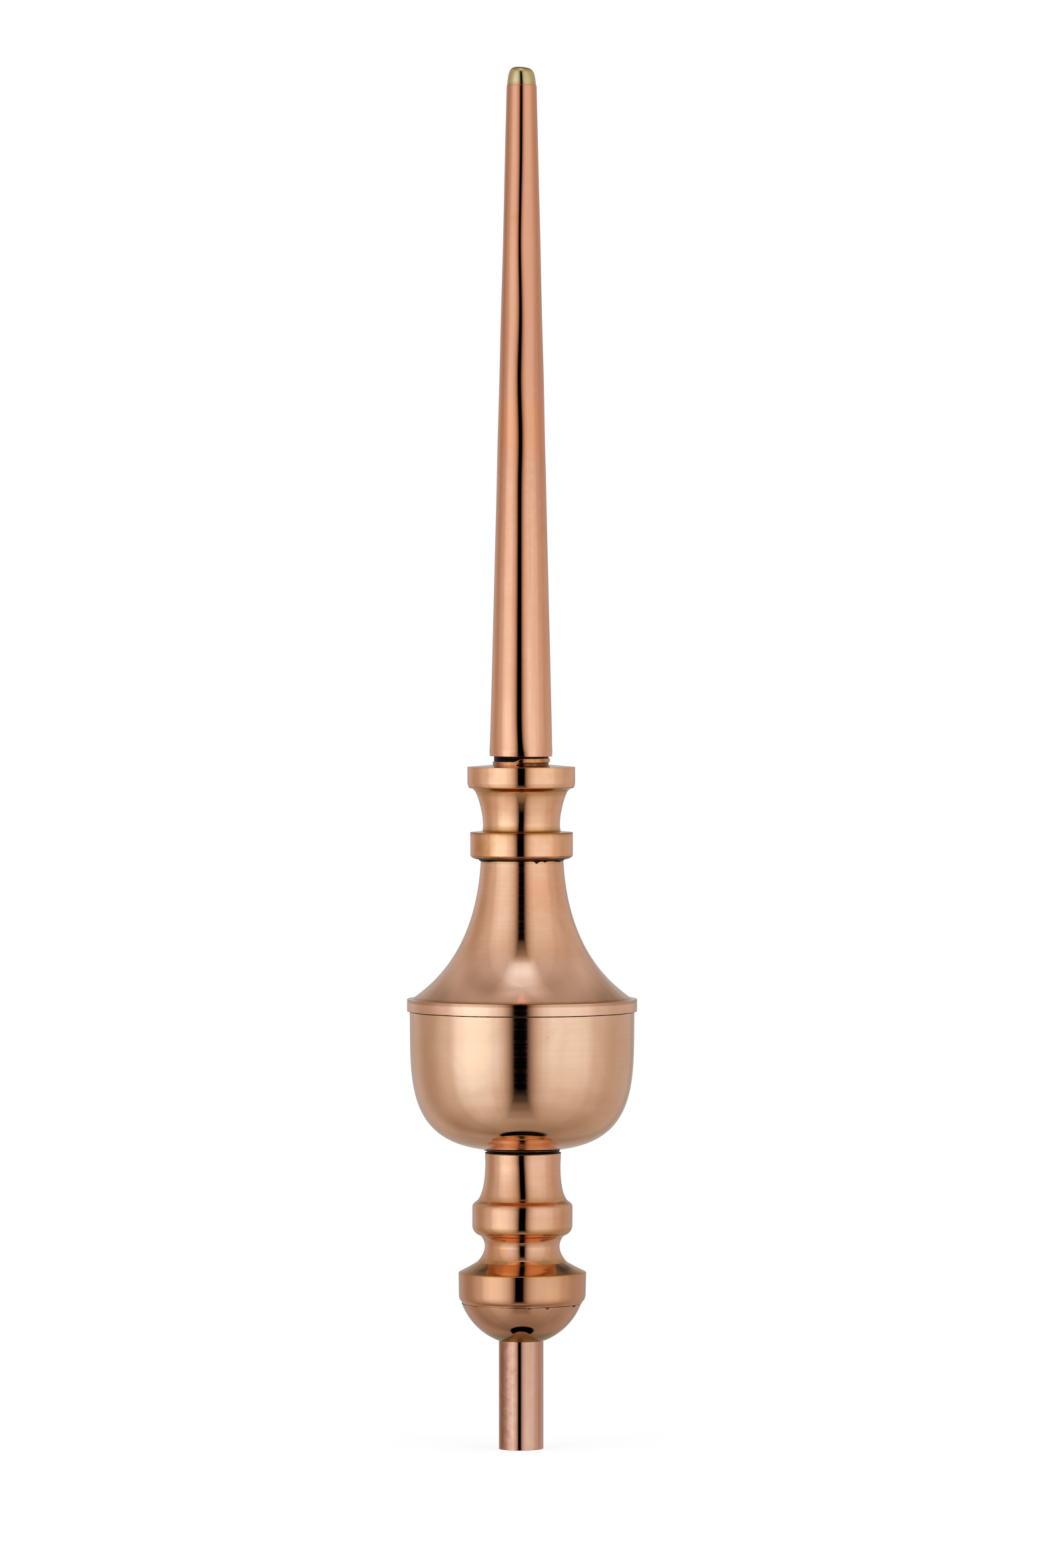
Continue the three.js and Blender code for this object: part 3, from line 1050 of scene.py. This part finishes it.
# %% Brass tip
tip_line = outline(
    (0.0, tip_foot),
    curve((tip_radius, tip_foot), (0.0, tip_top), (0.09, 0.875), (0.2, 1)),
    corner=0.2 * mm,
    longest=0.5 * mm,
)
tip_wander = spun_waves((0.03, 0.02), (2, 3), (0.03, 0.012), 23, tip_radius)
tip_aside = (-0.17 * mm, -0.17 * mm)


def tip_cut(angle, height, radius):
    """The cap leans: z falls by 0.5 mm · rise · (0.5 + sin(angle)·radius/tip_radius), where rise goes from 0
    at its foot to 1 at its top, so it is lower on the right."""
    rise = (height - tip_foot) / (tip_top - tip_foot)
    return rise * -0.5 * mm * (0.5 + np.sin(angle) * radius / tip_radius)


brass_tip = turned("brass_tip_skin", tip_line, tip_wander, around=128, cut=tip_cut, aside=tip_aside)
tip_brass = metal(
    "tip_brass",
    (0.74, 0.54, 0.27),
    (0.66, 0.48, 0.20),
    rough=(0.04, 0.10),
    marks=(1500.0, 500.0),
    depth=0.004 * mm,
    cloud_size=120.0,
    films=[
        (tip_foot, 1.6 * mm, (0.72, 0.34, 0.17), 0.7),
        (tip_top, 1.3 * mm, (0.24, 0.18, 0.09), 0.7),
    ],
)
dress(brass_tip, tip_brass, "tip_brass", "brass_tip")

# %% [markdown]
# ## Solder
#
# Soft solder has gone dark under the base ring and under the cap band. Each bead is a small half-round band
# whose lower edge runs down in places, so it is a grid round the axis like the rest, with its height and its
# fatness changing with the angle. Round the stem only a stain shows, which is part of the half ball's finish.


# %% Solder beads
def bead(name, radius, height, size, aside, drips, seed, around=512):
    """A band of solder round the axis. Across it, the section is half an ellipse from its lower to its upper
    edge. Its lower edge falls by slow noise and by a rounded drip at each named angle from the camera's
    side, and its back is one row sunk 0.3 mm behind the joint."""
    rng = np.random.default_rng(seed)
    turn = np.linspace(-180.0, 180.0, around, endpoint=False)
    rough_edge = sum(
        rng.uniform(0.3, 1.0) / k**0.5 * np.cos(np.radians(k * turn) + rng.uniform(0, 2 * np.pi))
        for k in (5, 9, 14, 23, 37, 61, 90)
    )
    fall = size * (0.6 + 0.14 * rough_edge)
    for centre, width, depth in drips:
        fall += depth * np.exp(-(((turn - centre + 180) % 360 - 180) / width) ** 2)
    fall = np.maximum(fall, 0.3 * size)
    across = np.linspace(0.0, np.pi, 11)[:, None]
    z = height - fall * (1 - np.cos(across)) / 2 + size * 0.25 * np.cos(across)
    r = radius + size * 0.32 * np.sin(across) * (0.6 + 0.4 * fall / fall.max())
    r = np.vstack([r, np.full(around, radius - 0.3 * mm)])
    z = np.vstack([z, height - fall / 2])
    a = np.radians(turn - 90.0)
    points = np.stack([r * np.cos(a) + aside, r * np.sin(a), z], axis=2).reshape(-1, 3)
    faces = grid_faces(len(r), around, True)[:, [0, 3, 2, 1]]
    return mesh_object(name, points, faces.tolist())


# %% [markdown]
# The solder itself is dull and nearly black next to the copper. Each drip is an angle from the camera's side,
# a width in degrees and a depth, so that each can be set where a drip is wanted.

# %% Solder finish and places
solder = metal(
    "dark_solder",
    (0.045, 0.020, 0.010),
    (0.015, 0.007, 0.004),
    rough=(0.25, 0.5),
    marks=(300.0,),
    depth=0.03 * mm,
    cloud_size=150.0,
    lines=True,
)
ring_bead = bead(
    "base_ring_solder",
    21.0 * mm,
    bell_top + 0.3 * mm,
    0.9 * mm,
    -0.1 * mm,
    [(21, 2.6, 1.0 * mm), (34, 1.8, 0.5 * mm), (62, 9.0, 0.5 * mm), (-64, 16.0, 0.5 * mm)],
    seed=29,
)
cap_bead = bead(
    "cap_band_solder",
    ball_cut_radius - 0.15 * mm,
    baluster_foot + 0.15 * mm,
    0.2 * mm,
    -0.17 * mm,
    [(7.5, 1.8, 0.7 * mm), (25.6, 2.4, 0.8 * mm), (61.5, 3.5, 0.8 * mm)],
    seed=31,
)
for piece in (ring_bead, cap_bead):
    dress(piece, solder, "polished_copper")

# %% [markdown]
# ## Stage
#
# A plain pale floor under the foot, blown out to white as in a product photo. To the camera it is bright,
# with only the soft contact shade left. Reflections don't see it, because the studio light has a dark foot
# of a stand of its own. Seen from below, the floor is clear.

# %% Stage
floor_mesh = bpy.data.meshes.new("floor")
floor_mesh.from_pydata([(-9, -9, 0), (9, -9, 0), (9, 9, 0), (-9, 9, 0)], [], [(0, 1, 2, 3)])
floor = bpy.data.objects.new("floor", floor_mesh)
bpy.context.scene.collection.objects.link(floor)
floor_paint = bpy.data.materials.new("pale_floor")
floor_paint.use_nodes = True
tree = floor_paint.node_tree
tree.nodes.clear()
surface = add(tree, "ShaderNodeOutputMaterial").inputs["Surface"]
matt = add(tree, "ShaderNodeBsdfDiffuse", feeds={"Color": (0.5, 0.5, 0.5, 1)}).outputs[0]
glow = add(tree, "ShaderNodeEmission", feeds={"Strength": 0.75}).outputs[0]
lit = add(tree, "ShaderNodeAddShader", feeds={0: matt, 1: glow}).outputs[0]
seen = add(tree, "ShaderNodeLightPath").outputs["Is Camera Ray"]
shown = add(tree, "ShaderNodeMixShader", feeds={0: seen, 1: matt, 2: lit}).outputs[0]
below = add(tree, "ShaderNodeNewGeometry").outputs["Backfacing"]
clear = add(tree, "ShaderNodeBsdfTransparent").outputs[0]
tree.links.new(add(tree, "ShaderNodeMixShader", feeds={0: below, 1: shown, 2: clear}).outputs[0], surface)
floor_mesh.materials.append(floor_paint)
floor.visible_glossy = False
print("floor has", len(tree.nodes), "shader nodes")

# %% [markdown]
# ## Studio light
#
# Polished metal shows the room, so the room is the light. All of it is one sky: a brightness worked out from
# the direction's bearing round the object and its rise above the floor, both in degrees. The bearing is 0
# towards the camera and positive to its right. Soft curves through a few stops give the brightness.

# %% Sky directions
world = bpy.data.worlds.new("studio")
bpy.context.scene.world = world
world.use_nodes = True
sky = world.node_tree
sky.nodes.clear()
degree = math.radians(1.0)
direction = add(sky, "ShaderNodeTexCoord").outputs["Generated"]
dx, dy, dz = add(sky, "ShaderNodeSeparateXYZ", feeds={0: direction}).outputs
forward = times(sky, dy, -1.0)
bearing = calc(sky, "DIVIDE", calc(sky, "ARCTAN2", dx, forward), degree)
rise = calc(sky, "DIVIDE", calc(sky, "ARCSINE", dz), degree)


def ramp(value, low, high, stops):
    """A soft curve through (place, brightness) stops, read at a value between low and high."""
    feeds = {"Value": value, "From Min": low, "From Max": high}
    share = add(sky, "ShaderNodeMapRange", {"clamp": True}, feeds).outputs["Result"]
    node = add(sky, "ShaderNodeValToRGB", feeds={0: share})
    node.color_ramp.interpolation = "EASE"
    elements = node.color_ramp.elements
    for at, level in stops[1:-1]:
        elements.new((at - low) / (high - low))
    for element, (at, level) in zip(elements, stops):
        element.position = (at - low) / (high - low)
        element.color = (level, level, level, 1)
    return node.outputs[0]


def mix_value(share, first, second):
    """Mixes two brightnesses by a share from 0 to 1."""
    return add(sky, "ShaderNodeMix", {"data_type": "FLOAT"}, {0: share, 2: first, 3: second}).outputs[0]


# %% [markdown]
# The room is an even grey all round, a little darker overhead and underfoot. Behind the object it is dim
# above eye height, which gives the edges of the metal their darker tone.

# %% Room
room_levels = [(-180, 0.46), (-170, 0.40), (-158, 0.44), (-142, 0.50), (-118, 0.40), (-95, 0.46), (95, 0.46)]
room_levels += [(120, 0.49), (142, 0.48), (158, 0.37), (170, 0.40), (180, 0.46)]
room_heights = [(-90, 0.50), (-75, 0.53), (-55, 0.70), (-25, 0.92), (-5, 1.0), (35, 1.0), (55, 0.81)]
room_heights += [(70, 0.69), (90, 0.64)]
dim_levels = [(-90, 0.0), (14, 0.0), (22, 0.18), (30, 0.42), (40, 0.62), (50, 0.45), (64, 0.0), (90, 0.0)]
room = times(sky, ramp(bearing, -180, 180, room_levels), ramp(rise, -90, 90, room_heights))
behind = smooth_range(sky, calc(sky, "ABSOLUTE", bearing), 125.0, 158.0)
dim = times(sky, behind, ramp(rise, -90, 90, dim_levels))
room = times(sky, room, calc(sky, "SUBTRACT", 1.0, dim))

# %% [markdown]
# Two big soft panels stand left and right of the camera. Polished copper needs such large even lights, or it
# looks black. The left one is stronger at eye height, the right one reaches higher.

# %% Panels
panel_levels = [(-180, 0.0), (-108, 0.0), (-82, 0.24), (-67, 0.68), (-57, 0.84), (-46, 0.80), (-27, 0.62)]
panel_levels += [(0, 0.50), (52, 0.50), (67, 0.42), (82, 0.20), (110, 0.02), (180, 0.0)]
low_heights = [(-90, 0.04), (-65, 0.11), (-45, 0.32), (-25, 0.57), (-14, 0.80), (-5, 1.0)]
left_heights = low_heights + [(2, 0.78), (8, 0.63), (25, 0.56), (45, 0.40), (65, 0.28), (90, 0.20)]
right_heights = low_heights + [(6, 0.93), (25, 0.69), (45, 0.54), (65, 0.34), (90, 0.22)]
right_share = smooth_range(sky, bearing, -10.0, 8.0)
panel_height = mix_value(right_share, ramp(rise, -90, 90, left_heights), ramp(rise, -90, 90, right_heights))
panels = times(sky, ramp(bearing, -180, 180, panel_levels), panel_height)
lights = plus(sky, room, panels)

# %% [markdown]
# Between the panels is a narrow dark gap, where the camera stands. It is the dark line down the front of
# every piece. It opens to full brightness only 34 degrees to each side, and it closes low and high.

# %% Dark gap
gap_centre = -1.8
gap_levels = [(0, 0.0), (6.2, 0.0), (9.5, 0.18), (12, 0.34), (15, 0.50), (19, 0.69), (25, 0.87), (34, 1.0)]
gap_levels += [(180, 1.0)]
closing_levels = [(-90, 1.0), (-63, 1.0), (-51, 0.58), (-39, 0.28), (-31, 0.08), (-21, 0.0), (45, 0.0)]
closing_levels += [(51, 0.17), (57, 0.34), (62, 0.68), (67, 0.95), (72, 1.0), (90, 1.0)]
off_centre = calc(sky, "ABSOLUTE", calc(sky, "SUBTRACT", bearing, gap_centre))
open_share = ramp(off_centre, 0, 180, gap_levels)
closing = ramp(rise, -90, 90, closing_levels)
lights = times(sky, lights, calc(sky, "MAXIMUM", open_share, closing))

# %% [markdown]
# A soft strip hangs overhead and lights what faces up. It starts in front of the object and reaches a little
# behind it. Its run is read by the angle over the top, from front to back.

# %% Overhead strip
strip_strength = 0.5
side_levels = [(0, 1.0), (0.10, 0.97), (0.17, 0.72), (0.22, 0.40), (0.29, 0.0), (1, 0.0)]
run_levels = [(0, 0.0), (60, 0.0), (70, 1.0), (75, 1.04), (84, 0.72), (95, 0.58), (107, 0.1), (118, 0.0)]
run_levels += [(180, 0.0)]
over = calc(sky, "DIVIDE", calc(sky, "ARCTAN2", dz, forward), degree)
strip_sides = ramp(calc(sky, "ABSOLUTE", dx), 0.0, 1.0, side_levels)
strip = times(sky, strip_sides, ramp(over, 0, 180, run_levels))
lights = plus(sky, lights, times(sky, strip, strip_strength))

# %% [markdown]
# Nearly straight below, the metal reflects a dark foot of a stand. It is a soft round patch, worked out as
# ((x - foot_x)² + (y - foot_y)²) / foot_reach², and it counts only below the horizon.

# %% Foot of the stand
foot_x, foot_y, foot_reach = 0.01, 0.15, 0.225
exposure = 1.154
below_x = calc(sky, "DIVIDE", calc(sky, "SUBTRACT", dx, foot_x), foot_reach)
below_y = calc(sky, "DIVIDE", calc(sky, "SUBTRACT", dy, foot_y), foot_reach)
below = plus(sky, times(sky, below_x, below_x), times(sky, below_y, below_y))
clear_of_foot = smooth_range(sky, below, 0.85, 1.2)
clear_of_foot = calc(sky, "MAXIMUM", clear_of_foot, calc(sky, "GREATER_THAN", dz, 0.0))
lights = times(sky, times(sky, lights, clear_of_foot), exposure)

# %% [markdown]
# Bright light is cool and dim light is warm, as daylight panels in a room are. To the camera the sky itself
# is plain white, whatever the metal sees, and colours are shown as they are, without a film look.

# %% Sky colours
white_level = 1.05
warm, cool, coldest, white = (1.15, 1.0, 0.85, 1), (0.91, 1.0, 1.12, 1), (0.83, 1.03, 1.24, 1), (1, 1, 1, 1)
light_tint = mix_colour(sky, smooth_range(sky, lights, 0.05, 0.9), warm, cool)
light_tint = mix_colour(sky, smooth_range(sky, lights, 0.75, 1.25), light_tint, coldest)
to_camera = add(sky, "ShaderNodeLightPath").outputs["Is Camera Ray"]
brightness = mix_value(to_camera, lights, white_level)
tint = mix_colour(sky, to_camera, light_tint, white)
background = add(sky, "ShaderNodeBackground", feeds={"Color": tint, "Strength": brightness})
sky_out = add(sky, "ShaderNodeOutputWorld")
sky.links.new(background.outputs[0], sky_out.inputs["Surface"])
bpy.context.scene.view_settings.view_transform = "Standard"
bpy.context.scene.view_settings.look = "None"
print("studio light has", len(sky.nodes), "nodes")
